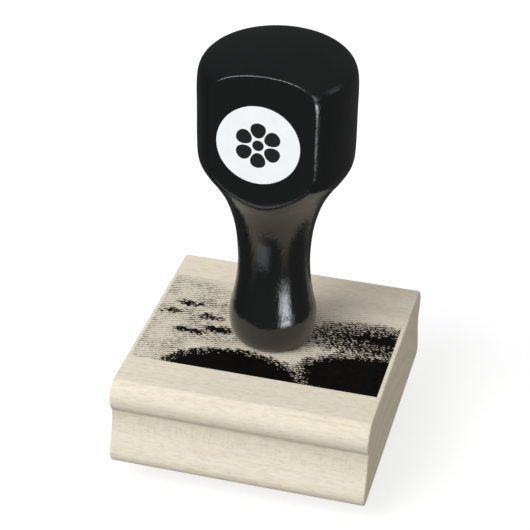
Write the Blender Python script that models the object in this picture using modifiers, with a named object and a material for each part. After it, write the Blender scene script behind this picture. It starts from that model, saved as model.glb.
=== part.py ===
"""A wooden-handled rubber stamp, taken to pieces: a moulded maple mount, a turned handle
planed flat at the front, the screw that joins them, their labels, and a foam-backed rubber die.

Metres, +Z up. The origin is the centre of the printing face, where it meets the paper.
X runs along the moulding, -Y is the front with the round label, and the handle stands on Z.
"""
import math

import bmesh
import bpy
from mathutils import Vector

MM = 0.001
MERGE_DISTANCE = 0.01 * MM
FLAT_ANGLE = math.radians(0.5)

# Rubber die, foam cushion and their adhesive films, from the paper up
RELIEF_HEIGHT = 1.0 * MM
SHEET_THICKNESS = 1.3 * MM
FOAM_THICKNESS = 2.8 * MM
TAPE_THICKNESS = 0.15 * MM
FILM_GAP = 0.1 * MM
DIE_LENGTH = 55.0 * MM
DIE_DEPTH = 35.0 * MM
DIE_CORNER = 1.2 * MM

DIE_TAPE_BOTTOM = RELIEF_HEIGHT + SHEET_THICKNESS + FILM_GAP
FOAM_BOTTOM = DIE_TAPE_BOTTOM + TAPE_THICKNESS + FILM_GAP
BLOCK_TAPE_BOTTOM = FOAM_BOTTOM + FOAM_THICKNESS + FILM_GAP

# Artwork of the die: uneven islands for the dark boulders, thin bars for the screened tones
RELIEF_ROOT = 0.3 * MM
ISLAND_POINTS = 22
ISLANDS = (
    # centre x, centre y, half length, half depth, in mm, and the seed of its uneven outline
    (7.5, -10.5, 16.5, 5.2, 1),
    (-19.0, -13.0, 5.0, 3.4, 2),
    (17.5, 3.2, 8.6, 3.4, 4),
    (-15.5, 3.0, 6.0, 2.0, 5),
)
BAR_COUNT = 5
BAR_FIRST_Y = 8.8 * MM
BAR_PITCH = 1.8 * MM
BAR_WIDTH = 0.7 * MM
BAR_LENGTH = 51.0 * MM

# Mount block: a length of moulding, the same at the front and the back
BLOCK_BOTTOM = BLOCK_TAPE_BOTTOM + TAPE_THICKNESS + FILM_GAP
BLOCK_LENGTH = 60.0 * MM
BLOCK_HEIGHT = 20.9 * MM
BLOCK_TOP = BLOCK_BOTTOM + BLOCK_HEIGHT
FOOT_HALF_DEPTH = 30.4 * MM
BASE_HALF_DEPTH = 31.85 * MM
BASE_HEIGHT = 2.4 * MM
COVE_HALF_DEPTH = 29.4 * MM
COVE_HEIGHT = 13.1 * MM
ARRIS_HALF_DEPTH = 29.85 * MM
ARRIS_HEIGHT = 14.0 * MM
NOSE_HALF_DEPTH = 30.7 * MM
NOSE_HEIGHT = 16.5 * MM
TOP_HALF_DEPTH = 27.6 * MM
BLOCK_EDGE = 0.3 * MM

# Clear printed film on top of the block
INDEX_LENGTH = 57.9 * MM
INDEX_DEPTH = 36.4 * MM
INDEX_THICKNESS = 0.12 * MM
INDEX_BOTTOM = BLOCK_TOP + FILM_GAP

# Handle: turned outline as (radius, height above the block), in mm, from the crown down
HANDLE_FOOT_HEIGHT = 0.32
HANDLE_OUTLINE = (
    (0.0, 75.4),
    (5.0, 75.1),
    (9.5, 74.2),
    (13.2, 72.9),
    (15.6, 71.3),
    (17.0, 69.2),
    (17.5, 66.0),
    (17.5, 60.0),
    (17.5, 52.0),
    (17.2, 47.8),
    (15.8, 44.9),
    (13.7, 41.9),
    (11.5, 38.1),
    (9.9, 33.8),
    (8.8, 28.8),
    (8.3, 22.5),
    (8.5, 17.0),
    (9.2, 12.3),
    (10.1, 8.0),
    (10.1, 4.2),
    (9.3, 1.5),
    (8.1, HANDLE_FOOT_HEIGHT),
)
OUTLINE_STEPS = 2
HANDLE_SEGMENTS = 56
FLAT_DISTANCE = 13.1 * MM

# Round label on the handle's front flat
LABEL_RADIUS = 9.2 * MM
LABEL_THICKNESS = 0.15 * MM
LABEL_X = -0.7 * MM
LABEL_HEIGHT = BLOCK_TOP + 56.7 * MM

# Countersunk wood screw, driven up from below; lengths along it start at the head's face
SCREW_LENGTH = 38.0 * MM
SCREW_RECESS = 0.4 * MM
SCREW_CLEARANCE = 0.3 * MM
HEAD_RADIUS = 4.1 * MM
HEAD_RIM = 0.4 * MM
HEAD_HEIGHT = 2.9 * MM
SHANK_RADIUS = 1.95 * MM
SHANK_END = 14.0 * MM
CORE_RADIUS = 1.4 * MM
THREAD_RADIUS = 2.1 * MM
THREAD_PITCH = 1.8 * MM
THREAD_TURNS = 12
THREAD_ROWS = 4
SCREW_SEGMENTS = 16
CROSS_LENGTH = 4.2 * MM
CROSS_WIDTH = 1.0 * MM
CROSS_DEPTH = 1.9 * MM
BORE_DEPTH = 19.5 * MM

COLOURS = {
    # linear red, green and blue, roughness
    "mount_block": (0.69, 0.62, 0.49, 0.55),
    "index_label": (0.55, 0.51, 0.43, 0.35),
    "handle": (0.012, 0.013, 0.013, 0.12),
    "handle_label": (0.92, 0.92, 0.92, 0.3),
    "handle_screw": (0.62, 0.58, 0.48, 0.3),
    "block_tape": (0.80, 0.78, 0.70, 0.5),
    "cushion": (0.42, 0.42, 0.43, 0.9),
    "die_tape": (0.80, 0.78, 0.70, 0.5),
    "rubber_die": (0.30, 0.055, 0.035, 0.7),
}
METALS = ("handle_screw",)


def clear_scene():
    for obj in list(bpy.data.objects):
        bpy.data.objects.remove(obj, do_unlink=True)


def new_collection(name):
    collection = bpy.data.collections.new(name)
    bpy.context.scene.collection.children.link(collection)
    return collection


def make_material(name):
    red, green, blue, roughness = COLOURS[name]
    material = bpy.data.materials.new(name)
    material.use_nodes = True
    shader = material.node_tree.nodes["Principled BSDF"]
    shader.inputs["Base Color"].default_value = (red, green, blue, 1.0)
    shader.inputs["Roughness"].default_value = roughness
    shader.inputs["Metallic"].default_value = 1.0 if name in METALS else 0.0
    return material


def add_part(name, mesh, collection):
    """Links a mesh as a named piece with its own material."""
    obj = bpy.data.objects.new(name, mesh)
    mesh.materials.clear()
    mesh.materials.append(make_material(name))
    collection.objects.link(obj)
    return obj


def add_cutter(name, mesh, collection):
    obj = bpy.data.objects.new(name, mesh)
    obj.hide_render = True
    obj.display_type = "WIRE"
    collection.objects.link(obj)
    return obj


def mesh_from_bmesh(name, shape):
    mesh = bpy.data.meshes.new(name)
    bmesh.ops.recalc_face_normals(shape, faces=shape.faces)
    shape.to_mesh(mesh)
    shape.free()
    return mesh


def evaluated_mesh(obj, flat_angle=0.0):
    """Applies an object's modifiers or outline into a new welded mesh.

    Faces that meet at less than flat_angle are joined into one.
    """
    bpy.context.view_layer.update()
    graph = bpy.context.evaluated_depsgraph_get()
    mesh = bpy.data.meshes.new_from_object(obj.evaluated_get(graph))
    shape = bmesh.new()
    shape.from_mesh(mesh)
    bmesh.ops.remove_doubles(shape, verts=shape.verts, dist=MERGE_DISTANCE)
    if flat_angle > 0.0:
        bmesh.ops.dissolve_limit(shape, angle_limit=flat_angle, verts=shape.verts,
                                 edges=shape.edges)
    shape.to_mesh(mesh)
    shape.free()
    return mesh


def add_boolean(obj, cutter, operation="DIFFERENCE"):
    modifier = obj.modifiers.new(cutter.name, "BOOLEAN")
    modifier.operation = operation
    modifier.object = cutter
    modifier.solver = "EXACT"


def box_mesh(name, size, centre):
    shape = bmesh.new()
    bmesh.ops.create_cube(shape, size=1.0)
    bmesh.ops.scale(shape, vec=size, verts=shape.verts)
    bmesh.ops.translate(shape, vec=centre, verts=shape.verts)
    return mesh_from_bmesh(name, shape)


def plate_mesh(name, length, depth, bottom, thickness, corner=0.0):
    """A flat plate, with its four upright corner edges rounded if a radius is given."""
    shape = bmesh.new()
    bmesh.ops.create_cube(shape, size=1.0)
    bmesh.ops.scale(shape, vec=(length, depth, thickness), verts=shape.verts)
    bmesh.ops.translate(shape, vec=(0.0, 0.0, bottom + thickness / 2), verts=shape.verts)
    if corner > 0.0:
        upright = [edge for edge in shape.edges
                   if abs(edge.verts[0].co.z - edge.verts[1].co.z) > thickness / 2]
        bmesh.ops.bevel(shape, geom=upright, offset=corner, segments=4, profile=0.5,
                        affect="EDGES")
    return mesh_from_bmesh(name, shape)


def turned_mesh(name, outline, segments):
    """Turns an outline of (radius, height) points, listed from the top down, about Z."""
    line = bmesh.new()
    points = [line.verts.new((radius, 0.0, height)) for radius, height in outline]
    for upper, lower in zip(points, points[1:]):
        line.edges.new((upper, lower))
    mesh = bpy.data.meshes.new(name + "_outline")
    line.to_mesh(mesh)
    line.free()
    obj = bpy.data.objects.new(name + "_outline", mesh)
    bpy.context.scene.collection.objects.link(obj)
    screw = obj.modifiers.new("turn", "SCREW")
    screw.axis = "Z"
    screw.angle = math.tau
    screw.steps = segments
    screw.render_steps = segments
    screw.use_merge_vertices = True
    screw.merge_threshold = MERGE_DISTANCE
    screw.use_smooth_shade = True
    solid = evaluated_mesh(obj)
    solid.name = name
    bpy.data.objects.remove(obj, do_unlink=True)
    bpy.data.meshes.remove(mesh)
    return solid


def smooth_outline(knots, steps):
    """Adds points between the knots, on the curve that passes smoothly through them."""
    points = []
    last = len(knots) - 1
    for index in range(last):
        before, here, there, after = (Vector(knots[max(0, min(last, index + shift))])
                                      for shift in (-1, 0, 1, 2))
        for step in range(steps):
            t = step / steps
            point = 0.5 * (2 * here + (there - before) * t
                           + (2 * before - 5 * here + 4 * there - after) * t ** 2
                           + (3 * here - before - 3 * there + after) * t ** 3)
            points.append((point.x, point.y))
    points.append(knots[-1])
    return points


def make_screw_hole(name, cutters):
    """The clearance hole and countersink in the block, and the pilot hole in the handle."""
    bottom = BLOCK_BOTTOM
    cone_base = bottom + SCREW_RECESS + HEAD_RIM
    cone_top = bottom + SCREW_RECESS + HEAD_HEIGHT
    mouth = HEAD_RADIUS + SCREW_CLEARANCE
    hole = THREAD_RADIUS + SCREW_CLEARANCE
    foot = BLOCK_TOP + HANDLE_FOOT_HEIGHT * MM
    outline = (
        (0.0, foot + BORE_DEPTH),
        (hole, foot + BORE_DEPTH - hole),
        (hole, cone_top),
        (mouth, cone_base),
        (mouth, bottom - 1.0 * MM),
        (0.0, bottom - 1.0 * MM),
    )
    return add_cutter(name, turned_mesh(name, outline, SCREW_SEGMENTS), cutters)


def make_block(parts, screw_hole):
    """The moulding's end outline as a flat curve, drawn out along X and drilled."""
    side = (
        # half depth, height, and the reach of the curve before and after the point
        (FOOT_HALF_DEPTH, 0.0, None, (0.8 * MM, 0.0)),
        (BASE_HALF_DEPTH, BASE_HEIGHT, (0.0, -1.2 * MM), (0.0, 1.6 * MM)),
        (COVE_HALF_DEPTH, COVE_HEIGHT, (0.0, -5.4 * MM), (0.0, 0.4 * MM)),
        (ARRIS_HALF_DEPTH, ARRIS_HEIGHT, (-0.3 * MM, -0.1 * MM), (0.5 * MM, 0.45 * MM)),
        (NOSE_HALF_DEPTH, NOSE_HEIGHT, (0.0, -1.1 * MM), (0.0, 2.4 * MM)),
        (TOP_HALF_DEPTH, BLOCK_HEIGHT, (1.1 * MM, -0.3 * MM), None),
    )
    curve = bpy.data.curves.new("block_outline", "CURVE")
    curve.dimensions = "2D"
    curve.fill_mode = "BOTH"
    curve.resolution_u = 5
    curve.extrude = BLOCK_LENGTH / 2
    spline = curve.splines.new("BEZIER")
    spline.bezier_points.add(2 * len(side) - 1)
    spline.use_cyclic_u = True
    for sign, points, knots in ((1, spline.bezier_points[:len(side)], side),
                                (-1, spline.bezier_points[len(side):], side[::-1])):
        for point, (half_depth, height, before, after) in zip(points, knots):
            centre = Vector((sign * half_depth, height, 0.0))
            reaches = (before, after) if sign > 0 else (after, before)
            point.co = centre
            point.handle_left_type = point.handle_right_type = "FREE"
            for side_name, reach in zip(("handle_left", "handle_right"), reaches):
                step = Vector((sign * reach[0], reach[1], 0.0)) if reach else Vector((0, 0, 0))
                setattr(point, side_name, centre + step)
    outline = bpy.data.objects.new("block_outline", curve)
    bpy.context.scene.collection.objects.link(outline)
    mesh = evaluated_mesh(outline, FLAT_ANGLE)
    mesh.name = "mount_block"
    bpy.data.objects.remove(outline, do_unlink=True)

    block = add_part("mount_block", mesh, parts)
    block.location = (0.0, 0.0, BLOCK_BOTTOM)
    block.rotation_euler = (math.pi / 2, 0.0, math.pi / 2)
    ease = block.modifiers.new("eased_ends", "BEVEL")
    ease.width = BLOCK_EDGE
    ease.segments = 2
    ease.limit_method = "ANGLE"
    ease.angle_limit = math.radians(60)
    add_boolean(block, screw_hole)


def make_index_label(parts, screw_hole):
    mesh = plate_mesh("index_label", INDEX_LENGTH, INDEX_DEPTH, INDEX_BOTTOM, INDEX_THICKNESS)
    add_boolean(add_part("index_label", mesh, parts), screw_hole)


def make_handle(parts, cutters, screw_hole):
    """A turned knob whose head is planed flat at the front, bored from below for the screw."""
    curve = smooth_outline(HANDLE_OUTLINE, OUTLINE_STEPS) + [(0.0, HANDLE_FOOT_HEIGHT)]
    outline = [(radius * MM, BLOCK_TOP + height * MM) for radius, height in curve]
    handle = add_part("handle", turned_mesh("handle", outline, HANDLE_SEGMENTS), parts)
    tall = HANDLE_OUTLINE[0][1] * MM
    centre = (0.0, -FLAT_DISTANCE - tall / 2, BLOCK_TOP + tall / 2)
    plane = add_cutter("front_plane", box_mesh("front_plane", (tall, tall, 2 * tall), centre), cutters)
    add_boolean(handle, plane)
    add_boolean(handle, screw_hole)


def make_handle_label(parts):
    shape = bmesh.new()
    bmesh.ops.create_cone(shape, cap_ends=True, segments=48, radius1=LABEL_RADIUS,
                          radius2=LABEL_RADIUS, depth=LABEL_THICKNESS)
    label = add_part("handle_label", mesh_from_bmesh("handle_label", shape), parts)
    label.rotation_euler = (math.pi / 2, 0.0, 0.0)
    distance = FLAT_DISTANCE + FILM_GAP + LABEL_THICKNESS / 2
    label.location = (LABEL_X, -distance, LABEL_HEIGHT)


def cut_thread(mesh, start):
    """Raises a helical ridge on the core, which fades in and out over one turn."""
    length = THREAD_TURNS * THREAD_PITCH
    for vertex in mesh.vertices:
        radius = math.hypot(vertex.co.x, vertex.co.y)
        along = vertex.co.z - start
        if radius < MERGE_DISTANCE or not 0.0 < along < length:
            continue
        turn = math.atan2(vertex.co.y, vertex.co.x) / math.tau
        phase = (along / THREAD_PITCH - turn) % 1.0
        ridge = max(0.0, 1.0 - 4.0 * abs(phase - 0.5))
        fade = min(1.0, along / THREAD_PITCH, (length - along) / THREAD_PITCH)
        scale = 1.0 + ridge * fade * (THREAD_RADIUS - CORE_RADIUS) / radius
        vertex.co.x *= scale
        vertex.co.y *= scale


def cross_cutter(name, angle, face, cutters):
    """One wing of the driver's cross: a bar that narrows as it goes into the head."""
    shape = bmesh.new()
    bmesh.ops.create_cube(shape, size=1.0)
    bmesh.ops.scale(shape, vec=(CROSS_LENGTH, CROSS_WIDTH, 2 * CROSS_DEPTH), verts=shape.verts)
    for vertex in shape.verts:
        if vertex.co.z > 0.0:
            vertex.co.x *= 0.35
    cutter = add_cutter(name, mesh_from_bmesh(name, shape), cutters)
    cutter.location = (0.0, 0.0, face)
    cutter.rotation_euler = (0.0, 0.0, angle)
    return cutter


def make_screw(parts, cutters):
    face = BLOCK_BOTTOM + SCREW_RECESS
    thread_start = face + SHANK_END
    row = THREAD_PITCH / THREAD_ROWS
    rows = THREAD_TURNS * THREAD_ROWS
    outline = [(0.0, face + SCREW_LENGTH)]
    outline += [(CORE_RADIUS, thread_start + row * index) for index in range(rows, 0, -1)]
    outline += [
        (SHANK_RADIUS, thread_start - row),
        (SHANK_RADIUS, face + HEAD_HEIGHT),
        (HEAD_RADIUS, face + HEAD_RIM),
        (HEAD_RADIUS, face),
        (0.0, face),
    ]
    mesh = turned_mesh("handle_screw", outline, SCREW_SEGMENTS)
    cut_thread(mesh, thread_start)
    screw = add_part("handle_screw", mesh, parts)
    for index in range(2):
        name = f"cross_{index + 1}"
        add_boolean(screw, cross_cutter(name, index * math.pi / 2, face, cutters))


def island_outline(centre_x, centre_y, half_length, half_depth, seed):
    """An uneven closed outline, from an ellipse with three waves on it."""
    points = []
    for index in range(ISLAND_POINTS):
        angle = math.tau * index / ISLAND_POINTS
        wave = 1.0 + 0.08 * math.sin(2 * angle + seed) + 0.07 * math.cos(3 * angle + 2 * seed)
        wave += 0.05 * math.sin(5 * angle + 3 * seed)
        points.append((centre_x + half_length * wave * math.cos(angle),
                       centre_y + half_depth * wave * math.sin(angle)))
    return points


def make_relief(cutters):
    """The raised artwork that prints, as separate islands and bars, rooted in the sheet."""
    top = RELIEF_HEIGHT + RELIEF_ROOT
    shape = bmesh.new()
    for island in ISLANDS:
        outline = island_outline(*island)
        ring = [shape.verts.new((x * MM, y * MM, 0.0)) for x, y in outline]
        face = shape.faces.new(ring)
        raised = bmesh.ops.extrude_face_region(shape, geom=[face])["geom"]
        for item in raised:
            if isinstance(item, bmesh.types.BMVert):
                item.co.z = top
    for index in range(BAR_COUNT):
        bar = bmesh.ops.create_cube(shape, size=1.0)["verts"]
        bmesh.ops.scale(shape, vec=(BAR_LENGTH, BAR_WIDTH, top), verts=bar)
        centre = (0.0, BAR_FIRST_Y + index * BAR_PITCH, top / 2)
        bmesh.ops.translate(shape, vec=centre, verts=bar)
    return add_cutter("relief", mesh_from_bmesh("relief", shape), cutters)


def make_die(parts, cutters):
    mesh = plate_mesh("rubber_die", DIE_LENGTH, DIE_DEPTH, RELIEF_HEIGHT, SHEET_THICKNESS,
                      corner=DIE_CORNER)
    die = add_part("rubber_die", mesh, parts)
    add_boolean(die, make_relief(cutters), "UNION")
    return die


def make_layer(name, bottom, thickness, parts):
    """A layer of the pad under the block, cut to the die's outline."""
    mesh = plate_mesh(name, DIE_LENGTH, DIE_DEPTH, bottom, thickness, corner=DIE_CORNER)
    return add_part(name, mesh, parts)


def main():
    clear_scene()
    parts = new_collection("rubber_stamp")
    cutters = new_collection("cutters")
    screw_hole = make_screw_hole("screw_hole", cutters)

    make_block(parts, screw_hole)
    make_index_label(parts, screw_hole)
    make_handle(parts, cutters, screw_hole)
    make_handle_label(parts)
    make_screw(parts, cutters)
    make_layer("block_tape", BLOCK_TAPE_BOTTOM, TAPE_THICKNESS, parts)
    make_layer("cushion", FOAM_BOTTOM, FOAM_THICKNESS, parts)

    press_axis = bpy.data.objects.new("press_axis", None)
    parts.objects.link(press_axis)
    for piece in (make_layer("die_tape", DIE_TAPE_BOTTOM, TAPE_THICKNESS, parts),
                  make_die(parts, cutters)):
        piece.parent = press_axis


main()
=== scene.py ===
"""Looks of the wooden-handled rubber stamp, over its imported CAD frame.

+Z up, -Y is the front with the round label. The frame is in metres. The pieces are drawn in mm,
and scaled() brings each to metres.
"""
import math

import bmesh
import bpy
from mathutils import Matrix, Vector, noise


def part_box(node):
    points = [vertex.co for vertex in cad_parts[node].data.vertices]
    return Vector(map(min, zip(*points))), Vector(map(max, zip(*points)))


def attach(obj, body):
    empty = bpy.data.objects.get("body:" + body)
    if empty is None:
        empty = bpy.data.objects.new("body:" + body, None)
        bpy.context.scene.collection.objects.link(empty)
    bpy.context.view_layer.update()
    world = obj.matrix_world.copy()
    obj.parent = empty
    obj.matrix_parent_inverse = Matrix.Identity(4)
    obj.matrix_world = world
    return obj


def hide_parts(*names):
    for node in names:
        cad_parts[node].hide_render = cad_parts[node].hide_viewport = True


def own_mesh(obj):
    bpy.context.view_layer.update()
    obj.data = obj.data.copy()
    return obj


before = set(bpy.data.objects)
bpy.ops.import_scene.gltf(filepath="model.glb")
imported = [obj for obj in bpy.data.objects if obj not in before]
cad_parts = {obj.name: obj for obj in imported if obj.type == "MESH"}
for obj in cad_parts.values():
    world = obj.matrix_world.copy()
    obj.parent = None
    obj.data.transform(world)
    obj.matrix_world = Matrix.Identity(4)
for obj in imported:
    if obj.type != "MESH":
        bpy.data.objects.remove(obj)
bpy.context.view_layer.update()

MM = 0.001

# ---------------------------------------------------------------- camera
CAMERA_AZIMUTH = math.radians(14.476)
CAMERA_ELEVATION = math.radians(32.16)
CAMERA_ROLL = math.radians(1.094)
CAMERA_DISTANCE = 395.705 * MM
CAMERA_TARGET = Vector((-2.103, 0.0, 45.297)) * MM
CAMERA_LENS = 116.83
CAMERA_SENSOR = 36.0
CAMERA_NEAR = 0.01


def direction(azimuth, elevation):
    """Unit vector towards that azimuth (0 is -Y, 90 is +X) and elevation."""
    return Vector((math.sin(azimuth) * math.cos(elevation),
                   -math.cos(azimuth) * math.cos(elevation),
                   math.sin(elevation)))


def make_camera():
    data = bpy.data.cameras.new("camera")
    data.lens = CAMERA_LENS
    data.sensor_width = CAMERA_SENSOR
    data.clip_start = CAMERA_NEAR
    camera = bpy.data.objects.new("camera", data)
    bpy.context.scene.collection.objects.link(camera)
    back = direction(CAMERA_AZIMUTH, CAMERA_ELEVATION)
    right = (-back).cross(Vector((0.0, 0.0, 1.0))).normalized()
    up = right.cross(-back)
    c, s = math.cos(CAMERA_ROLL), math.sin(CAMERA_ROLL)
    right, up = right * c + up * s, up * c - right * s
    turn = Matrix((right, up, back)).transposed().to_4x4()
    camera.matrix_world = Matrix.Translation(CAMERA_TARGET + back * CAMERA_DISTANCE) @ turn
    bpy.context.scene.camera = camera


# ---------------------------------------------------------------- node helpers
def new_material(name):
    """A new material, with its nodes, links and shader."""
    material = bpy.data.materials.new(name)
    material.use_nodes = True
    nodes = material.node_tree.nodes
    return material, nodes, material.node_tree.links, nodes["Principled BSDF"]


def coordinates(nodes, links, scale, offset=(0.0, 0.0, 0.0)):
    """Object coordinates in metres, times scale."""
    source = nodes.new("ShaderNodeTexCoord")
    mapping = nodes.new("ShaderNodeMapping")
    mapping.inputs["Scale"].default_value = scale
    mapping.inputs["Location"].default_value = offset
    links.new(source.outputs["Object"], mapping.inputs["Vector"])
    return mapping.outputs["Vector"]


def noise_value(nodes, links, vector, detail, roughness, distortion=0.0):
    node = nodes.new("ShaderNodeTexNoise")
    node.inputs["Scale"].default_value = 1.0
    node.inputs["Detail"].default_value = detail
    node.inputs["Roughness"].default_value = roughness
    node.inputs["Distortion"].default_value = distortion
    links.new(vector, node.inputs["Vector"])
    return node.outputs["Fac"]


def ramp(nodes, links, value, stops):
    """Colour from a value, through (position, colour) stops."""
    node = nodes.new("ShaderNodeValToRGB")
    elements = node.color_ramp.elements
    while len(elements) < len(stops):
        elements.new(0.5)
    for element, (position, colour) in zip(elements, stops):
        element.position = position
        element.color = (*colour, 1.0)
    links.new(value, node.inputs["Fac"])
    return node.outputs["Color"]


def grey(level):
    return (level, level, level)


def mix(nodes, links, kind, factor, first, second):
    """Colour mix; factor, first and second are sockets, or constants."""
    node = nodes.new("ShaderNodeMix")
    node.data_type = "RGBA"
    node.blend_type = kind
    for key, value in ((0, factor), (6, first), (7, second)):
        if isinstance(value, bpy.types.NodeSocket):
            links.new(value, node.inputs[key])
        else:
            node.inputs[key].default_value = value
    return node.outputs[2]


def math_node(nodes, links, operation, first, second=None, clamp=False):
    """Arithmetic on sockets or constants."""
    node = nodes.new("ShaderNodeMath")
    node.operation = operation
    node.use_clamp = clamp
    for key, value in ((0, first), (1, second)):
        if isinstance(value, bpy.types.NodeSocket):
            links.new(value, node.inputs[key])
        elif value is not None:
            node.inputs[key].default_value = value
    return node.outputs[0]


def add_bump(nodes, links, shader, height, distance, strength):
    node = nodes.new("ShaderNodeBump")
    node.inputs["Strength"].default_value = strength
    node.inputs["Distance"].default_value = distance
    links.new(height, node.inputs["Height"])
    links.new(node.outputs["Normal"], shader.inputs["Normal"])


def clouded(name, scale, detail, roughness, dark, light, shine):
    """A material that drifts between two tones, with its nodes, links, shader and noise."""
    material, nodes, links, shader = new_material(name)
    cloud = noise_value(nodes, links, coordinates(nodes, links, (scale, scale, scale)), detail,
                        roughness)
    links.new(ramp(nodes, links, cloud, ((0.3, dark), (0.7, light))), shader.inputs["Base Color"])
    shader.inputs["Roughness"].default_value = shine
    return material, nodes, links, shader, cloud


# ---------------------------------------------------------------- materials
WOOD_LIGHT = (0.668, 0.610, 0.498)
WOOD_MID = (0.630, 0.568, 0.452)
WOOD_STREAK = (0.590, 0.512, 0.385)
WOOD_LINE = (0.575, 0.450, 0.310)
WOOD_MARK = (0.240, 0.200, 0.140)
MARKS_HEIGHT = 16.2 * MM
MARKS_SPREAD = 3.0 * MM
END_GRAIN = (0.720, 0.625, 0.468, 1.0)


def wood_colour(nodes, links):
    """Straight grain along X: broad bands, streaks, fine brown lines and fibres.

    Returns the colour, and the fibre and streak noises for the bump.
    """
    broad = noise_value(nodes, links, coordinates(nodes, links, (9, 150, 150)), 3.0, 0.5)
    colour = ramp(nodes, links, broad, ((0.30, WOOD_MID), (0.60, WOOD_LIGHT)))
    streak = noise_value(nodes, links, coordinates(nodes, links, (26, 560, 560), (3, 1, 7)),
                         4.0, 0.6)
    streak_mask = ramp(nodes, links, streak, ((0.50, grey(0.0)), (0.75, grey(0.5))))
    colour = mix(nodes, links, "MIX", streak_mask, colour, (*WOOD_STREAK, 1.0))
    line = noise_value(nodes, links, coordinates(nodes, links, (34, 1300, 1300), (1, 4, 2)),
                       2.0, 0.5)
    line_mask = ramp(nodes, links, line, ((0.61, grey(0.0)), (0.72, grey(0.38))))
    colour = mix(nodes, links, "MIX", line_mask, colour, (*WOOD_LINE, 1.0))
    fibre = noise_value(nodes, links, coordinates(nodes, links, (420, 1500, 1500)), 4.0, 0.75,
                        distortion=0.4)
    fibre_tone = ramp(nodes, links, fibre, ((0.30, grey(0.845)), (0.52, grey(1.0)),
                                            (0.75, grey(1.06))))
    return mix(nodes, links, "MULTIPLY", 1.0, colour, fibre_tone), fibre, streak


def end_grain(nodes, links, colour):
    """Darker end faces with faint growth rings, where the normal points along X."""
    rings = nodes.new("ShaderNodeTexWave")
    rings.wave_type = "RINGS"
    rings.rings_direction = "X"
    rings.inputs["Scale"].default_value = 1.0
    rings.inputs["Distortion"].default_value = 2.0
    rings.inputs["Detail"].default_value = 2.0
    links.new(coordinates(nodes, links, (60, 60, 60), (0.0, 0.8, 2.4)), rings.inputs["Vector"])
    ring_tone = ramp(nodes, links, rings.outputs["Fac"], ((0.0, grey(0.94)), (0.6, grey(1.0))))
    pores = noise_value(nodes, links, coordinates(nodes, links, (900, 2200, 2200)), 2.0, 0.6)
    pore_tone = ramp(nodes, links, pores, ((0.34, grey(0.86)), (0.52, grey(1.0))))
    tone = mix(nodes, links, "MULTIPLY", 1.0, ring_tone, pore_tone)
    end = mix(nodes, links, "MULTIPLY", 1.0, tone, END_GRAIN)
    geometry = nodes.new("ShaderNodeNewGeometry")
    split = nodes.new("ShaderNodeSeparateXYZ")
    links.new(geometry.outputs["Normal"], split.inputs[0])
    across = math_node(nodes, links, "ABSOLUTE", split.outputs[0])
    mask = ramp(nodes, links, across, ((0.72, grey(0.0)), (0.95, grey(1.0))))
    return mix(nodes, links, "MIX", mask, colour, end)


def cutter_marks(nodes, links):
    """Short darker ticks across the grain, left by the moulding cutter under the nose."""
    split = nodes.new("ShaderNodeSeparateXYZ")
    links.new(coordinates(nodes, links, (1.0, 1.0, 1.0)), split.inputs[0])
    below = math_node(nodes, links, "SUBTRACT", split.outputs[2], MARKS_HEIGHT)
    spread = math_node(nodes, links, "DIVIDE", math_node(nodes, links, "ABSOLUTE", below),
                       MARKS_SPREAD)
    band = math_node(nodes, links, "SUBTRACT", 1.0, spread, clamp=True)
    ticks = noise_value(nodes, links, coordinates(nodes, links, (1300, 40, 260)), 2.0, 0.6)
    tick_mask = ramp(nodes, links, ticks, ((0.50, grey(0.0)), (0.66, grey(0.16))))
    return math_node(nodes, links, "MULTIPLY", band, tick_mask)


def maple():
    material, nodes, links, shader = new_material("maple")
    colour, fibre, _ = wood_colour(nodes, links)
    colour = mix(nodes, links, "MIX", cutter_marks(nodes, links), colour, (*WOOD_MARK, 1.0))
    links.new(end_grain(nodes, links, colour), shader.inputs["Base Color"])
    chatter = noise_value(nodes, links, coordinates(nodes, links, (1500, 260, 260)), 1.0, 0.5)
    height = math_node(nodes, links, "ADD", math_node(nodes, links, "MULTIPLY", fibre, 0.6),
                       math_node(nodes, links, "MULTIPLY", chatter, 0.4))
    add_bump(nodes, links, shader, height, 0.00010, 0.7)
    shader.inputs["Roughness"].default_value = 0.62
    shader.inputs["Specular IOR Level"].default_value = 0.25
    return material


def film_over_maple(name, tint):
    """The film over the wood's grain, clear or lightly screened, as the tint says."""
    material, nodes, links, shader = new_material(name)
    colour, _, streak = wood_colour(nodes, links)
    links.new(mix(nodes, links, "MULTIPLY", 1.0, colour, (*tint, 1.0)),
              shader.inputs["Base Color"])
    add_bump(nodes, links, shader, streak, 0.00003, 0.5)
    shader.inputs["Roughness"].default_value = 0.5
    shader.inputs["Specular IOR Level"].default_value = 0.2
    return material


def printed_ink():
    material, nodes, links, shader = new_material("printed_ink")
    density = noise_value(nodes, links, coordinates(nodes, links, (900, 900, 900)), 3.0, 0.6)
    colour = ramp(nodes, links, density, ((0.35, (0.0022, 0.0020, 0.0017)),
                                          (0.75, (0.0052, 0.0047, 0.0040))))
    links.new(colour, shader.inputs["Base Color"])
    shader.inputs["Roughness"].default_value = 0.5
    shader.inputs["Specular IOR Level"].default_value = 0.12
    return material


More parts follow.
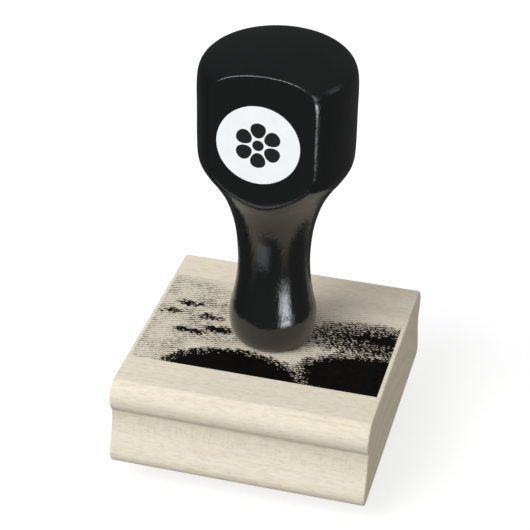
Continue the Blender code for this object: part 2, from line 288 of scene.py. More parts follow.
def black_lacquer():
    material, nodes, links, shader = new_material("black_lacquer")
    mottling = noise_value(nodes, links, coordinates(nodes, links, (70, 70, 40)), 3.0, 0.55)
    colour = ramp(nodes, links, mottling, ((0.3, (0.0038, 0.0044, 0.0046)),
                                           (0.7, (0.0050, 0.0056, 0.0058))))
    links.new(colour, shader.inputs["Base Color"])
    haze = ramp(nodes, links, mottling, ((0.3, grey(0.10)), (0.7, grey(0.15))))
    links.new(haze, shader.inputs["Roughness"])
    grain = noise_value(nodes, links, coordinates(nodes, links, (1700, 1700, 420)), 3.0, 0.7)
    orange_peel = noise_value(nodes, links, coordinates(nodes, links, (320, 320, 320)), 1.0, 0.5)
    brushing = noise_value(nodes, links, coordinates(nodes, links, (4200, 4200, 1300)), 1.0, 0.5)
    height = math_node(nodes, links, "ADD", math_node(nodes, links, "MULTIPLY", grain, 0.6),
                       math_node(nodes, links, "MULTIPLY", orange_peel, 0.4))
    height = math_node(nodes, links, "ADD", height,
                       math_node(nodes, links, "MULTIPLY", brushing, 0.16))
    add_bump(nodes, links, shader, height, 0.00016, 0.6)
    shader.inputs["IOR"].default_value = 1.58
    return material


def white_vinyl():
    material, nodes, links, shader, cloud = clouded(
        "white_vinyl", 220, 2.0, 0.5, (0.86, 0.89, 0.90), (0.89, 0.92, 0.93), 0.35)
    add_bump(nodes, links, shader, cloud, 0.00002, 0.3)
    return material


def label_ink():
    return clouded("label_ink", 500, 2.0, 0.5, grey(0.004), grey(0.007), 0.4)[0]


def red_rubber():
    material, nodes, links, shader, _ = clouded(
        "red_rubber", 180, 4.0, 0.6, (0.25, 0.040, 0.026), (0.34, 0.065, 0.042), 0.66)
    grain = noise_value(nodes, links, coordinates(nodes, links, (2500, 2500, 2500)), 2.0, 0.5)
    add_bump(nodes, links, shader, grain, 0.00004, 0.6)
    return material


def grey_foam():
    material, nodes, links, shader = new_material("grey_foam")
    cells = nodes.new("ShaderNodeTexVoronoi")
    cells.inputs["Scale"].default_value = 1.0
    links.new(coordinates(nodes, links, (3300, 3300, 3300)), cells.inputs["Vector"])
    tone = ramp(nodes, links, cells.outputs["Distance"], ((0.1, grey(0.22)), (0.5, grey(0.46))))
    cloud = noise_value(nodes, links, coordinates(nodes, links, (160, 160, 160)), 3.0, 0.5)
    cloud_tone = ramp(nodes, links, cloud, ((0.3, grey(0.90)), (0.7, grey(1.0))))
    links.new(mix(nodes, links, "MULTIPLY", 1.0, tone, cloud_tone), shader.inputs["Base Color"])
    add_bump(nodes, links, shader, cells.outputs["Distance"], 0.0001, 0.9)
    shader.inputs["Roughness"].default_value = 0.9
    return material


def adhesive_film():
    material, nodes, links, shader, cloud = clouded(
        "adhesive_film", 240, 3.0, 0.5, (0.74, 0.71, 0.60), (0.82, 0.80, 0.71), 0.4)
    add_bump(nodes, links, shader, cloud, 0.00003, 0.5)
    return material


def screw_steel():
    material, nodes, links, shader, plating = clouded(
        "screw_steel", 500, 3.0, 0.6, (0.60, 0.53, 0.36), (0.68, 0.63, 0.50), 0.3)
    shader.inputs["Metallic"].default_value = 1.0
    rough = ramp(nodes, links, plating, ((0.3, grey(0.24)), (0.7, grey(0.36))))
    links.new(rough, shader.inputs["Roughness"])
    return material


# ---------------------------------------------------------------- mesh helpers
def new_piece(name, shape, materials, body, replaced, smooth_angle=35.0):
    """Turns a bmesh into a shown piece that rides on a CAD body and stands for a CAD node."""
    mesh = bpy.data.meshes.new(name)
    shape.to_mesh(mesh)
    shape.free()
    for material in materials:
        mesh.materials.append(material)
    piece = bpy.data.objects.new(name, mesh)
    bpy.context.scene.collection.objects.link(piece)
    mesh.shade_smooth()
    mesh.set_sharp_from_angle(angle=math.radians(smooth_angle))
    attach(piece, body)
    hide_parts(replaced)
    return piece


def ring_faces(shape, lower, upper, material):
    """Joins two closed rings of the same length with a band of quads."""
    count = len(lower)
    for index in range(count):
        following = (index + 1) % count
        face = shape.faces.new((lower[index], lower[following], upper[following], upper[index]))
        face.material_index = material


def loft(shape, rings, material=0):
    """Closed solid through rings of points; single points close the ends."""
    made = [[shape.verts.new(point) for point in ring] for ring in rings]
    for lower, upper in zip(made, made[1:]):
        if len(lower) == 1 or len(upper) == 1:
            tip, ring = (lower[0], upper) if len(lower) == 1 else (upper[0], lower)
            for index in range(len(ring)):
                face = shape.faces.new((tip, ring[index], ring[(index + 1) % len(ring)]))
                face.material_index = material
        else:
            ring_faces(shape, lower, upper, material)
    for ring in (made[0], made[-1]):
        if len(ring) > 1:
            shape.faces.new(ring).material_index = material


def smooth_knots(knots, steps):
    """Points on the curve that passes smoothly through the knots."""
    points = []
    last = len(knots) - 1
    for index in range(last):
        before, here, there, after = (Vector(knots[max(0, min(last, index + shift))])
                                      for shift in (-1, 0, 1, 2))
        for step in range(steps):
            t = step / steps
            points.append(0.5 * (2 * here + (there - before) * t
                                 + (2 * before - 5 * here + 4 * there - after) * t ** 2
                                 + (3 * here - before - 3 * there + after) * t ** 3))
    points.append(Vector(knots[-1]))
    return points


def bezier(start, reach_out, reach_in, end, steps):
    """Points along a curve from start up to, but without, its end."""
    a, d = Vector(start), Vector(end)
    b, c = a + Vector(reach_out), d + Vector(reach_in)
    return [a * (1 - t) ** 3 + b * (3 * t * (1 - t) ** 2) + c * (3 * t * t * (1 - t)) + d * t ** 3
            for t in (step / steps for step in range(steps))]


def circle(radius, sides):
    """Points round a circle about the origin."""
    return [Vector((radius * math.cos(math.tau * k / sides),
                    radius * math.sin(math.tau * k / sides))) for k in range(sides)]


def cut(piece_name, shape, cutter_shape):
    """Subtracts a closed bmesh from another, and returns the result as a new bmesh."""
    objects = []
    for suffix, source in (("solid", shape), ("cutter", cutter_shape)):
        bmesh.ops.recalc_face_normals(source, faces=source.faces)
        mesh = bpy.data.meshes.new(f"{piece_name}_{suffix}")
        source.to_mesh(mesh)
        source.free()
        objects.append(bpy.data.objects.new(mesh.name, mesh))
        bpy.context.scene.collection.objects.link(objects[-1])
    modifier = objects[0].modifiers.new("cut", "BOOLEAN")
    modifier.operation = "DIFFERENCE"
    modifier.solver = "EXACT"
    modifier.object = objects[1]
    graph = bpy.context.evaluated_depsgraph_get()
    result = bmesh.new()
    result.from_mesh(objects[0].evaluated_get(graph).to_mesh())
    for item in objects:
        mesh = item.data
        bpy.data.objects.remove(item, do_unlink=True)
        bpy.data.meshes.remove(mesh)
    return result


# ---------------------------------------------------------------- sizes from the frame
BLOCK_LOW, BLOCK_HIGH = (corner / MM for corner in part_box("mount_block"))
FILM_LOW, FILM_HIGH = (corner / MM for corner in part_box("index_label"))
LABEL_LOW, LABEL_HIGH = (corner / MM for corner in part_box("handle_label"))
FOAM_LOW, FOAM_HIGH = (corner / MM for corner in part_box("cushion"))
_, DIE_HIGH = (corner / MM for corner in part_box("rubber_die"))
SCREW_LOW, SCREW_HIGH = (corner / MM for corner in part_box("handle_screw"))
BLOCK_TOP = BLOCK_HIGH.z
BLOCK_BOTTOM = BLOCK_LOW.z


def scaled(shape):
    """Brings a bmesh from mm to metres, with its faces outwards."""
    bmesh.ops.scale(shape, vec=(MM, MM, MM), verts=shape.verts)
    bmesh.ops.recalc_face_normals(shape, faces=shape.faces)
    return shape


# ---------------------------------------------------------------- mount block
SIDE_KNOTS = (
    # half depth, height, reach before, reach after
    ((30.4, 0.0), None, (0.8, 0.0)),
    ((31.85, 2.4), (0.0, -1.2), (0.0, 1.6)),
    ((29.4, 13.1), (0.0, -5.4), (0.0, 0.4)),
    ((29.85, 14.0), (-0.3, -0.1), (0.5, 0.45)),
    ((30.7, 16.5), (0.0, -1.1), (0.0, 2.4)),
    ((27.6, 20.9), (1.1, -0.3), None),
)
SIDE_STEPS = 14
BLOCK_EASE = 0.45
BLOCK_EASE_STEPS = 7
BLOCK_MARGIN = 0.005
SCREW_HOLE = 2.4
COUNTERSINK = 4.4
HOLE_SIDES = 32
HOLE_DEPTH_IN_HANDLE = 19.0
COUNTERSINK_RIM = 0.8
COUNTERSINK_DEPTH = 3.3
CUTTER_OVERRUN = 1.0


def block_outline():
    """Half outline up one side, then down the other, as (y, z) in mm."""
    side = []
    for (start, _, out), (end, into, _) in zip(SIDE_KNOTS, SIDE_KNOTS[1:]):
        side += bezier(start, out or (0, 0), into or (0, 0), end, SIDE_STEPS)
    side.append(Vector(SIDE_KNOTS[-1][0]))
    front = [Vector((-point.x, point.y)) for point in side]
    back = [Vector((point.x, point.y)) for point in reversed(side)]
    return front + back


def inset(outline, distance):
    """Moves each point of a closed outline inwards along its mean normal."""
    count = len(outline)
    moved = []
    for index, point in enumerate(outline):
        along = outline[(index + 1) % count] - outline[index - 1]
        inward = Vector((along.y, -along.x)).normalized()
        moved.append(point + inward * distance)
    return moved


def screw_hole_shape():
    """The bore through block and handle foot, with its countersink."""
    shape = bmesh.new()
    loft(shape, [[Vector((point.x, point.y, height)) for point in circle(radius, HOLE_SIDES)]
                 for radius, height in ((SCREW_HOLE, BLOCK_TOP + HOLE_DEPTH_IN_HANDLE),
                                        (SCREW_HOLE, BLOCK_BOTTOM + COUNTERSINK_DEPTH),
                                        (COUNTERSINK, BLOCK_BOTTOM + COUNTERSINK_RIM),
                                        (COUNTERSINK, BLOCK_BOTTOM - CUTTER_OVERRUN))])
    return shape


def make_block():
    """The moulding drawn out along X, its cut ends eased, and drilled for the screw."""
    outline = block_outline()
    half = BLOCK_HIGH.x - 2 * BLOCK_MARGIN
    stations = []
    for step in range(BLOCK_EASE_STEPS + 1):
        angle = math.pi / 2 * step / BLOCK_EASE_STEPS
        stations.append((half - BLOCK_EASE * (1 - math.cos(angle)),
                         BLOCK_EASE * (1 - math.sin(angle))))
    stations = [(-x, d) for x, d in stations] + [(x, d) for x, d in reversed(stations)]
    rings = [[Vector((x, point.x, BLOCK_BOTTOM + point.y))
              for point in inset(outline, d + BLOCK_MARGIN)] for x, d in stations]
    shape = bmesh.new()
    loft(shape, rings)
    shape = cut("block", shape, screw_hole_shape())
    new_piece("moulded_block", scaled(shape), [MAPLE], "mount", "mount_block",
              smooth_angle=14.0)


# ---------------------------------------------------------------- artwork
SCREEN_ANGLE = math.radians(12.0)
SCREEN_PITCH = 0.80
# Rolling hills and a few bushes: tone, softness of the edge, centre and radii, in mm
MASSES = (
    (1.18, 1.0, (-5.0, -20.5), (18.0, 11.5)),
    (1.18, 1.0, (27.0, -13.0), (19.0, 10.0)),
    (0.97, 3.0, (24.0, 2.5), (18.0, 7.5)),
    (1.12, 2.4, (25.0, 3.5), (13.0, 4.0)),
    (0.72, 1.8, (12.0, -16.0), (8.0, 5.0)),
    (1.30, 0.7, (-21.5, 6.5), (4.4, 1.2)),
    (1.26, 0.7, (-25.0, 2.5), (3.0, 1.0)),
    (1.26, 0.8, (-16.0, 2.0), (3.4, 1.1)),
    (1.30, 0.8, (-12.5, -2.5), (3.6, 1.5)),
    (1.30, 0.8, (-19.0, -4.5), (4.2, 1.2)),
)


def depth_inside(x, y, centre, radii):
    """About how far inside an ellipse a place is in mm; negative outside."""
    away = math.hypot((x - centre[0]) / radii[0], (y - centre[1]) / radii[1])
    return (1.0 - away) * min(radii)


def smoothstep(low, high, value):
    """0 at low and beyond, 1 at high and beyond; low may be the larger."""
    t = max(0.0, min(1.0, (value - low) / (high - low)))
    return t * t * (3 - 2 * t)


def wobble(x, y, seed):
    return noise.noise(Vector((x, y, seed)))


def tone(x, y):
    """Darkness from 0 to 1 of a generic landscape of rolling hills, at that place in mm."""
    wander, ripple = wobble(x * 0.35, y * 0.5, 3.0), wobble(x * 0.95, y * 1.2, 9.0)
    wx = x + 0.9 * wander + 0.9 * ripple
    wy = y + 1.1 * ripple - 0.5 * wander
    value = 0.42 + 0.15 * wobble(x * 0.14, y * 0.22, 5.0)
    value -= 0.10 * smoothstep(-5.0, -9.0, y) * smoothstep(-21.0, -17.0, x)
    value *= 1.0 - 0.95 * smoothstep(9.0, 21.0, y + 0.16 * x)
    for level, softness, centre, radii in MASSES:
        depth = depth_inside(wx, wy, centre, radii)
        solid = 0.78 * smoothstep(-1.0 * softness, 0.7 * softness, depth)
        solid += 0.22 * smoothstep(0.0, 4.0, depth)
        value = max(value, level * solid)
    along, across = x * 0.95 - y * 0.31, x * 0.31 + y * 0.95
    chips = smoothstep(0.10, 0.34, wobble(along * 1.7, across * 3.8, 11.0))
    value -= 0.52 * chips * smoothstep(1.14, 0.90, value) * smoothstep(0.60, 0.80, value)
    streaks = 0.8 * wobble(along * 0.6, across * 1.8, 1.0) + 0.8 * wobble(x * 2.0, y * 2.6, 2.0)
    streaks += 0.7 * wobble(x * 4.2, y * 5.0, 6.0)
    unsure = smoothstep(0.36, 0.52, value) * smoothstep(1.10, 0.80, value)
    return value + (0.07 + 0.36 * unsure) * streaks


def ink_level(x, y):
    """0 clear, 1 light, 2 middle or 3 black: rows of dashes that close up where it is darker."""
    across = y * math.cos(SCREEN_ANGLE) - x * math.sin(SCREEN_ANGLE)
    along = x * math.cos(SCREEN_ANGLE) + y * math.sin(SCREEN_ANGLE)
    row = 0.5 + 0.5 * math.cos(math.tau * across / SCREEN_PITCH)
    dash = wobble(along * 1.7, math.floor(across / SCREEN_PITCH) * 7.3, 4.0)
    excess = tone(x, y) - (0.76 - 0.50 * row + 0.08 * dash)
    return sum(excess > limit for limit in (-0.11, 0.07, 0.14))


# ---------------------------------------------------------------- printed film
FILM_COLUMNS = 240
FILM_ROWS = 196


def make_film():
    """A thin plate of cells, each clear or inked, with the screw's hole left out."""
    low = Vector((FILM_LOW.x, FILM_LOW.y))
    step = Vector(((FILM_HIGH.x - FILM_LOW.x) / FILM_COLUMNS,
                   (FILM_HIGH.y - FILM_LOW.y) / FILM_ROWS))
    shape = bmesh.new()
    grid = [[shape.verts.new((low.x + step.x * i, low.y + step.y * j, FILM_HIGH.z))
             for i in range(FILM_COLUMNS + 1)] for j in range(FILM_ROWS + 1)]
    for j in range(FILM_ROWS):
        for i in range(FILM_COLUMNS):
            x, y = low.x + step.x * (i + 0.5), low.y + step.y * (j + 0.5)
            if math.hypot(x, y) < SCREW_HOLE:
                continue
            face = shape.faces.new((grid[j][i], grid[j][i + 1], grid[j + 1][i + 1],
                                    grid[j + 1][i]))
            face.material_index = ink_level(x, y)
    loose = [vertex for vertex in shape.verts if not vertex.link_faces]
    bmesh.ops.delete(shape, geom=loose, context="VERTS")
    rim = [edge for edge in shape.edges if edge.is_boundary]
    lowered = bmesh.ops.extrude_edge_only(shape, edges=rim)["geom"]
    for item in lowered:
        if isinstance(item, bmesh.types.BMVert):
            item.co.z = FILM_LOW.z
        elif isinstance(item, bmesh.types.BMFace):
            item.material_index = 0
    open_edges = [edge for edge in shape.edges if edge.is_boundary]
    bmesh.ops.triangle_fill(shape, edges=open_edges, use_beauty=False)
    film = new_piece("printed_film", scaled(shape), [FILM, FILM_LIGHT, FILM_MIDDLE, INK], "mount",
                     "index_label")
    # The lacquer mirrors bare wood, which is lit through the film
    film.visible_glossy = False
    film.visible_diffuse = False
    film.visible_shadow = False


# ---------------------------------------------------------------- handle
HANDLE_KNOTS = (
    (0.0, 75.4), (5.0, 75.1), (9.5, 74.2), (13.2, 72.9), (15.6, 71.3), (17.0, 69.2),
    (17.5, 66.0), (17.5, 60.0), (17.5, 52.0), (17.2, 47.8), (15.8, 44.9), (13.7, 41.9),
    (11.5, 38.1), (9.9, 33.8), (8.8, 28.8), (8.3, 22.5), (8.5, 17.0), (9.2, 12.3),
    (10.1, 8.0), (10.1, 4.2), (9.3, 1.5), (8.1, 0.32),
)
KNOT_STEPS = 6
FLAT_DISTANCE = 13.1
FLAT_SOFTNESS = 0.36
FLAT_SMALLEST_RADIUS = 11.0
FRONT_ARC = 56
BACK_STEPS = 62


def handle_angles():
    """Angles round the axis, close together at the front, where the flat's edge runs."""
    front = [math.radians(-90.0 + degree) for degree in range(-FRONT_ARC, FRONT_ARC + 1)]
    gap = math.tau - (front[-1] - front[0])
    return front + [front[-1] + gap * k / BACK_STEPS for k in range(1, BACK_STEPS)]


def planed(point):
    """Presses what stands beyond the front flat back to it, with a softly rounded edge."""
    beyond = -point.y - FLAT_DISTANCE
    eased = FLAT_DISTANCE + 0.5 * (beyond - math.sqrt(beyond ** 2 + FLAT_SOFTNESS ** 2))
    return Vector((point.x, -eased, point.z))


def make_handle():
    """The turned outline swept round, planed at the front, with the screw's pilot hole."""
    angles = handle_angles()
    rings = [[Vector((0.0, 0.0, BLOCK_TOP + HANDLE_KNOTS[0][1]))]]
    for radius, height in smooth_knots(HANDLE_KNOTS, KNOT_STEPS)[1:]:
        ring = []
        for angle in angles:
            point = Vector((radius * math.cos(angle), radius * math.sin(angle),
                            BLOCK_TOP + height))
            ring.append(planed(point) if radius > FLAT_SMALLEST_RADIUS else point)
        rings.append(ring)
    rings.append([Vector((0.0, 0.0, BLOCK_TOP + HANDLE_KNOTS[-1][1]))])
    shape = bmesh.new()
    loft(shape, rings)
    shape = cut("handle", shape, screw_hole_shape())
    new_piece("lacquered_handle", scaled(shape), [LACQUER], "mount", "handle",
              smooth_angle=60.0)


# ---------------------------------------------------------------- round label
PETALS = 6
PETAL_ROOT = 1.75
PETAL_REACH = 5.3
PETAL_WIDTH = 1.95
PETAL_SIDES = 32
HUB = 1.25
LABEL_SIDES = 128
LABEL_EASE = 0.04
INK_RISE = 0.012
INK_ROOT = 0.01


def flat_plate(shape, outline, front, back, material):
    """A closed plate parallel to the handle's flat, through (x, z) points."""
    rings = [[Vector((x, y, z)) for x, z in outline] for y in (front, back)]
    loft(shape, rings, material)


def make_label():
    """A white disc with a black six-petal flower printed on it."""
    centre = (LABEL_LOW + LABEL_HIGH) / 2
    radius = (LABEL_HIGH.z - LABEL_LOW.z) / 2
    ink_face = LABEL_LOW.y + 0.003
    face, back = ink_face + INK_RISE, LABEL_HIGH.y
    shape = bmesh.new()
    rings = []
    for r, y in ((radius - LABEL_EASE, face), (radius, face + LABEL_EASE), (radius, back)):
        rings.append([Vector((centre.x + point.x, y, centre.z + point.y))
                      for point in circle(r, LABEL_SIDES)])
    loft(shape, rings)
    for petal in range(PETALS):
        turn = math.tau * (petal + 0.5) / PETALS
        outline = []
        for k in range(PETAL_SIDES):
            angle = math.tau * k / PETAL_SIDES
            outward = 0.5 - 0.5 * math.cos(angle)
            along = PETAL_ROOT + (PETAL_REACH - PETAL_ROOT) * outward
            aside = PETAL_WIDTH * math.sin(angle) * (0.72 + 0.28 * outward)
            outline.append((centre.x + along * math.cos(turn) - aside * math.sin(turn),
                            centre.z + along * math.sin(turn) + aside * math.cos(turn)))
        flat_plate(shape, outline, ink_face, face + INK_ROOT, 1)
    hub = [(centre.x + point.x, centre.z + point.y) for point in circle(HUB, PETAL_SIDES)]
    flat_plate(shape, hub, ink_face, face + INK_ROOT, 1)
    new_piece("round_label", scaled(shape), [VINYL, LABEL_INK], "mount",
              "handle_label")


# ---------------------------------------------------------------- pad under the block
PAD_CORNER = 1.2
PAD_CORNER_STEPS = 6
PAD_SIDE_STEPS = 24
FOAM_LAYERS = 8
FOAM_MARGIN = 0.02
FOAM_WAIST = 0.28
FOAM_UNEVEN = 0.05


def rounded_rectangle(half_length, half_depth, corner, steps, per_side):
    """Corners as arcs, sides split evenly, anticlockwise from the corner at +X +Y."""
    arcs = []
    for quarter, (sx, sy) in enumerate(((1, 1), (-1, 1), (-1, -1), (1, -1))):
        cx, cy = sx * (half_length - corner), sy * (half_depth - corner)
        angles = [math.pi / 2 * (quarter + step / steps) for step in range(steps + 1)]
        arcs.append([Vector((cx + corner * math.cos(angle), cy + corner * math.sin(angle)))
                     for angle in angles])
    points = []
    for arc, following in zip(arcs, arcs[1:] + arcs[:1]):
        points += arc
        points += [arc[-1].lerp(following[0], k / per_side) for k in range(1, per_side)]
    return points


def pad_outline(inward):
    """The outline shared by the foam and the die, drawn in by that much."""
    half_length = (FOAM_HIGH.x - FOAM_LOW.x) / 2 - inward
    half_depth = (FOAM_HIGH.y - FOAM_LOW.y) / 2 - inward
    return rounded_rectangle(half_length, half_depth, PAD_CORNER, PAD_CORNER_STEPS,
                             PAD_SIDE_STEPS)


def make_foam():
    """A slab of foam whose cut sides draw in a little between the films."""
    shape = bmesh.new()
    rings = []
    for layer in range(FOAM_LAYERS + 1):
        t = layer / FOAM_LAYERS
        waist = FOAM_WAIST * math.sin(math.pi * t)
        height = FOAM_LOW.z + (FOAM_HIGH.z - FOAM_LOW.z) * t
        ring = []
        for point in pad_outline(FOAM_MARGIN + waist):
            uneven = FOAM_UNEVEN * noise.noise(Vector((point.x * 1.5, point.y * 1.5, height * 2.0)))
            ring.append(Vector((point.x * (1 + uneven / 30), point.y * (1 + uneven / 20), height)))
        rings.append(ring)
    loft(shape, rings)
    foam = new_piece("foam_cushion", scaled(shape), [FOAM], "mount", "cushion")
    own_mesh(foam)


DIE_CELL = 0.5
DIE_MARGIN = 0.8
DIE_EASE = 0.05
DIE_ARTWORK_SCALE = (1.04, 1.03)
RELIEF_TOP = 0.0
RELIEF_ROOT = 1.2
SHEET_BOTTOM = 1.0


def relief_cells():
    """The cells of the die that print, from the same artwork as the film."""
    half_x, half_y = DIE_HIGH.x - DIE_MARGIN, DIE_HIGH.y - DIE_MARGIN
    columns, rows = int(2 * half_x / DIE_CELL), int(2 * half_y / DIE_CELL)
    cells = set()
    for j in range(rows):
        for i in range(columns):
            x, y = (i + 0.5 - columns / 2) * DIE_CELL, (j + 0.5 - rows / 2) * DIE_CELL
            if ink_level(x * DIE_ARTWORK_SCALE[0], y * DIE_ARTWORK_SCALE[1]) >= 2:
                cells.add((i, j))
    return cells, columns, rows


def make_die():
    """The rubber sheet with the artwork standing on it, relief face down."""
    shape = bmesh.new()
    rings = []
    for inward, height in ((DIE_EASE, SHEET_BOTTOM), (0.0, SHEET_BOTTOM + DIE_EASE),
                           (0.0, DIE_HIGH.z - DIE_EASE), (DIE_EASE, DIE_HIGH.z)):
        rings.append([Vector((p.x, p.y, height)) for p in pad_outline(inward)])
    loft(shape, rings)
    cells, columns, rows = relief_cells()
    layers = {}

    def corner(i, j, height):
        key = (i, j, height)
        if key not in layers:
            layers[key] = shape.verts.new(((i - columns / 2) * DIE_CELL,
                                           (j - rows / 2) * DIE_CELL, height))
        return layers[key]

    for i, j in sorted(cells):
        square = ((i, j), (i + 1, j), (i + 1, j + 1), (i, j + 1))
        shape.faces.new([corner(a, b, RELIEF_TOP) for a, b in square])
        shape.faces.new([corner(a, b, RELIEF_ROOT) for a, b in reversed(square)])
        sides = (((i, j - 1), 0), ((i + 1, j), 1), ((i, j + 1), 2), ((i - 1, j), 3))
        for neighbour, side in sides:
            if neighbour not in cells:
                a, b = square[side], square[(side + 1) % 4]
                shape.faces.new((corner(*a, RELIEF_TOP), corner(*a, RELIEF_ROOT),
                                 corner(*b, RELIEF_ROOT), corner(*b, RELIEF_TOP)))
    new_piece("rubber_die_face", scaled(shape), [RUBBER], "die", "rubber_die")


# ---------------------------------------------------------------- screw
SCREW_SIDES = 32
SCREW_HEAD = 4.1
SCREW_SHANK = 1.95
SCREW_CORE = 1.4
HEAD_RIM = 0.4
HEAD_END = 2.9
THREAD_START = 13.6
THREAD_PITCH = 1.8
THREAD_STEP = 0.18
THREAD_HEIGHT = 0.7
TIP_LENGTH = 2.4
TIP_CLEARANCE = 0.01
SHANK_MIDDLE = 8.0
RECESS = (4.2, 1.0, 3.8)
RECESS_TAPER = 0.35


def screw_radius(along, angle, length):
    """Radius of the screw that far from its head's face, at that angle round it."""
    if along < HEAD_RIM:
        return SCREW_HEAD
    if along < HEAD_END:
        return SCREW_HEAD + (SCREW_SHANK - SCREW_HEAD) * (along - HEAD_RIM) / (HEAD_END - HEAD_RIM)
    if along < THREAD_START:
        return SCREW_SHANK
    if along > length - TIP_LENGTH:
        return max(0.0, SCREW_CORE * (length - along) / TIP_LENGTH)
    phase = (along / THREAD_PITCH - angle / math.tau) % 1.0
    ridge = max(0.0, 1.0 - 4.0 * abs(phase - 0.5))
    fade = min(1.0, (along - THREAD_START) / THREAD_PITCH,
               (length - TIP_LENGTH - along) / THREAD_PITCH)
    return SCREW_CORE + THREAD_HEIGHT * ridge * max(0.0, fade)


def make_screw():
    """A countersunk wood screw, head down, with a helical thread and a cross recess."""
    length = SCREW_HIGH.z - SCREW_LOW.z
    thread_steps = int((length - THREAD_START - TIP_LENGTH) / THREAD_STEP)
    stations = [0.0, HEAD_RIM, HEAD_END, SHANK_MIDDLE, THREAD_START - 0.01]
    stations += [THREAD_START + THREAD_STEP * k for k in range(1, thread_steps)]
    stations += [length - TIP_LENGTH, length - TIP_LENGTH / 2]
    rings = [[Vector((0.0, 0.0, SCREW_LOW.z))]]
    for along in stations:
        ring = []
        for k in range(SCREW_SIDES):
            angle = math.tau * k / SCREW_SIDES
            radius = screw_radius(along, angle, length)
            ring.append(Vector((radius * math.cos(angle), radius * math.sin(angle),
                                SCREW_LOW.z + along)))
        rings.append(ring)
    rings.append([Vector((0.0, 0.0, SCREW_HIGH.z - TIP_CLEARANCE))])
    shape = bmesh.new()
    loft(shape, rings)
    for turn in (0.0, math.pi / 2):
        wing = bmesh.new()
        bmesh.ops.create_cube(wing, size=1.0)
        bmesh.ops.scale(wing, vec=RECESS, verts=wing.verts)
        for vertex in wing.verts:
            if vertex.co.z > 0.0:
                vertex.co.x *= RECESS_TAPER
        bmesh.ops.rotate(wing, matrix=Matrix.Rotation(turn, 3, "Z"), verts=wing.verts)
        bmesh.ops.translate(wing, vec=(0.0, 0.0, SCREW_LOW.z), verts=wing.verts)
        shape = cut("screw", shape, wing)
    new_piece("wood_screw", scaled(shape), [STEEL], "mount", "handle_screw")


# ---------------------------------------------------------------- studio
KEY_AZIMUTH = math.radians(-38.0)
KEY_ELEVATION = math.radians(43.0)
KEY_STRENGTH = 2.84
KEY_SOFTNESS = math.radians(40.0)
AMBIENT = 0.52
SKY_GRADIENT = 0.12
BACKDROP = 1.0
MIRRORED_BASE = 0.05
MIRRORED_RIGHT = 0.09
MIRRORED_FRONT = 0.10
MIRRORED_ABOVE = 0.11
CARD_DISTANCE = 0.80
CARD_TINT = (0.93, 0.97, 1.0, 1.0)
CARDS = (
    # name, azimuth and elevation, width and height in m, radiance, aim in mm, dimmed share
    ("strip_card", 47.5, -18.0, 0.33, 0.30, 12.0, (0.0, 0.0, 38.0), 0.85),
    ("edge_card", -16.0, 17.0, 0.70, 0.28, 7.0, (0.0, -13.0, 95.0), 0.0),
    ("corner_card", 50.0, 6.0, 0.30, 0.24, 3.0, (8.0, -13.0, 92.0), 0.0),
    ("side_card", 100.0, 14.0, 0.24, 0.22, 0.9, (15.0, 0.0, 92.0), 0.0),
    ("window_card", -24.0, -43.0, 0.42, 0.18, 1.1, (0.0, -8.0, 52.0), 0.0),
)
FLOOR_REACH = 6.0
FLOOR_DROP = 0.00002
FLOOR_TONE = 0.28
FLOOR_GLOW = 0.74


def make_world():
    """Soft white light all round. Mirrored, it is dim, and brighter in front, above and right."""
    world = bpy.data.worlds.new("studio")
    bpy.context.scene.world = world
    world.use_nodes = True
    nodes, links = world.node_tree.nodes, world.node_tree.links
    source = nodes.new("ShaderNodeTexCoord")
    split = nodes.new("ShaderNodeSeparateXYZ")
    links.new(source.outputs["Generated"], split.inputs[0])
    front = math_node(nodes, links, "MULTIPLY", split.outputs[1], -MIRRORED_FRONT, clamp=True)
    above = math_node(nodes, links, "MULTIPLY", split.outputs[2], MIRRORED_ABOVE, clamp=True)
    right = math_node(nodes, links, "MULTIPLY", split.outputs[0], MIRRORED_RIGHT, clamp=True)
    mirrored = math_node(nodes, links, "ADD", math_node(nodes, links, "ADD", front, above),
                         math_node(nodes, links, "ADD", right, MIRRORED_BASE))
    soft = math_node(nodes, links, "ADD", AMBIENT,
                     math_node(nodes, links, "MULTIPLY", split.outputs[2], SKY_GRADIENT))
    path = nodes.new("ShaderNodeLightPath")
    shade = mix(nodes, links, "MIX", path.outputs["Is Glossy Ray"], soft, mirrored)
    shade = mix(nodes, links, "MIX", path.outputs["Is Camera Ray"], shade, (*grey(BACKDROP), 1.0))
    links.new(shade, nodes["Background"].inputs["Color"])


def make_key():
    data = bpy.data.lights.new("key", "SUN")
    data.energy = KEY_STRENGTH
    data.angle = KEY_SOFTNESS
    key = bpy.data.objects.new("key", data)
    bpy.context.scene.collection.objects.link(key)
    key.rotation_mode = "QUATERNION"
    key.rotation_quaternion = direction(KEY_AZIMUTH, KEY_ELEVATION).to_track_quat("Z", "Y")
    key.visible_glossy = False


def square_mesh(name, width, height, level, material):
    shape = bmesh.new()
    corners = ((-0.5, -0.5), (0.5, -0.5), (0.5, 0.5), (-0.5, 0.5))
    shape.faces.new([shape.verts.new((x * width, y * height, level)) for x, y in corners])
    mesh = bpy.data.meshes.new(name)
    shape.to_mesh(mesh)
    shape.free()
    mesh.materials.append(material)
    return mesh


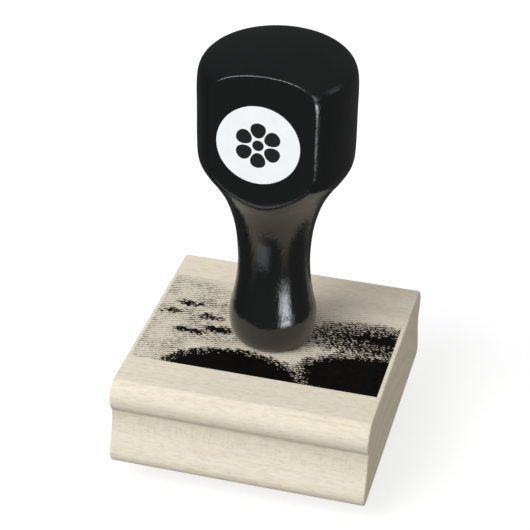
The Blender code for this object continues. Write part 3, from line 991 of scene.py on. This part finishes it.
def make_card(name, azimuth, elevation, width, height, radiance, aim, dimmed):
    """A bright panel that only shows in reflections; dimmed is the share that fades to its foot."""
    material = bpy.data.materials.new(name)
    material.use_nodes = True
    nodes, links = material.node_tree.nodes, material.node_tree.links
    emission = nodes.new("ShaderNodeEmission")
    emission.inputs["Color"].default_value = CARD_TINT
    split = nodes.new("ShaderNodeSeparateXYZ")
    links.new(coordinates(nodes, links, (1.0, 1.0 / height, 1.0)), split.inputs[0])
    level = ramp(nodes, links, math_node(nodes, links, "ADD", split.outputs[1], 0.5),
                 ((0.0, grey(0.0 if dimmed else 1.0)), (max(dimmed, 0.001), grey(1.0))))
    links.new(math_node(nodes, links, "MULTIPLY", level, radiance), emission.inputs["Strength"])
    links.new(emission.outputs[0], nodes["Material Output"].inputs["Surface"])
    card = bpy.data.objects.new(name, square_mesh(name, width, height, 0.0, material))
    bpy.context.scene.collection.objects.link(card)
    away = direction(math.radians(azimuth), math.radians(elevation))
    card.matrix_world = (Matrix.Translation(Vector(aim) * MM + away * CARD_DISTANCE)
                         @ away.to_track_quat("Z", "Y").to_matrix().to_4x4())
    card.visible_camera = False
    card.visible_diffuse = False
    card.visible_shadow = False
    card.visible_transmission = False


def make_floor():
    """A pale floor that comes out white under the key, apart from a soft shadow."""
    material, _, _, shader = new_material("studio_floor")
    shader.inputs["Base Color"].default_value = (*grey(FLOOR_TONE), 1.0)
    shader.inputs["Emission Color"].default_value = (1.0, 1.0, 1.0, 1.0)
    shader.inputs["Emission Strength"].default_value = FLOOR_GLOW
    shader.inputs["Roughness"].default_value = 0.9
    shader.inputs["Specular IOR Level"].default_value = 0.0
    mesh = square_mesh("studio_floor", 2 * FLOOR_REACH, 2 * FLOOR_REACH, -FLOOR_DROP, material)
    floor = bpy.data.objects.new("studio_floor", mesh)
    bpy.context.scene.collection.objects.link(floor)
    # The stamp is lit and mirrored as if it stood free in the studio
    floor.visible_glossy = False
    floor.visible_diffuse = False


# ---------------------------------------------------------------- build
make_camera()
MAPLE = maple()
FILM = film_over_maple("film_clear", (0.97, 0.975, 0.985))
FILM_LIGHT = film_over_maple("film_light_screen", (0.74, 0.74, 0.75))
FILM_MIDDLE = film_over_maple("film_middle_screen", (0.36, 0.355, 0.35))
INK = printed_ink()
LACQUER = black_lacquer()
VINYL = white_vinyl()
LABEL_INK = label_ink()
RUBBER = red_rubber()
FOAM = grey_foam()
TAPE = adhesive_film()
STEEL = screw_steel()

make_block()
make_film()
make_handle()
make_label()
make_screw()
make_foam()
make_die()
for tape_name in ("block_tape", "die_tape"):
    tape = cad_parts[tape_name]
    tape.data.materials.clear()
    tape.data.materials.append(TAPE)

make_world()
make_key()
make_floor()
for card_values in CARDS:
    make_card(*card_values)
bpy.context.scene.view_settings.view_transform = "Standard"
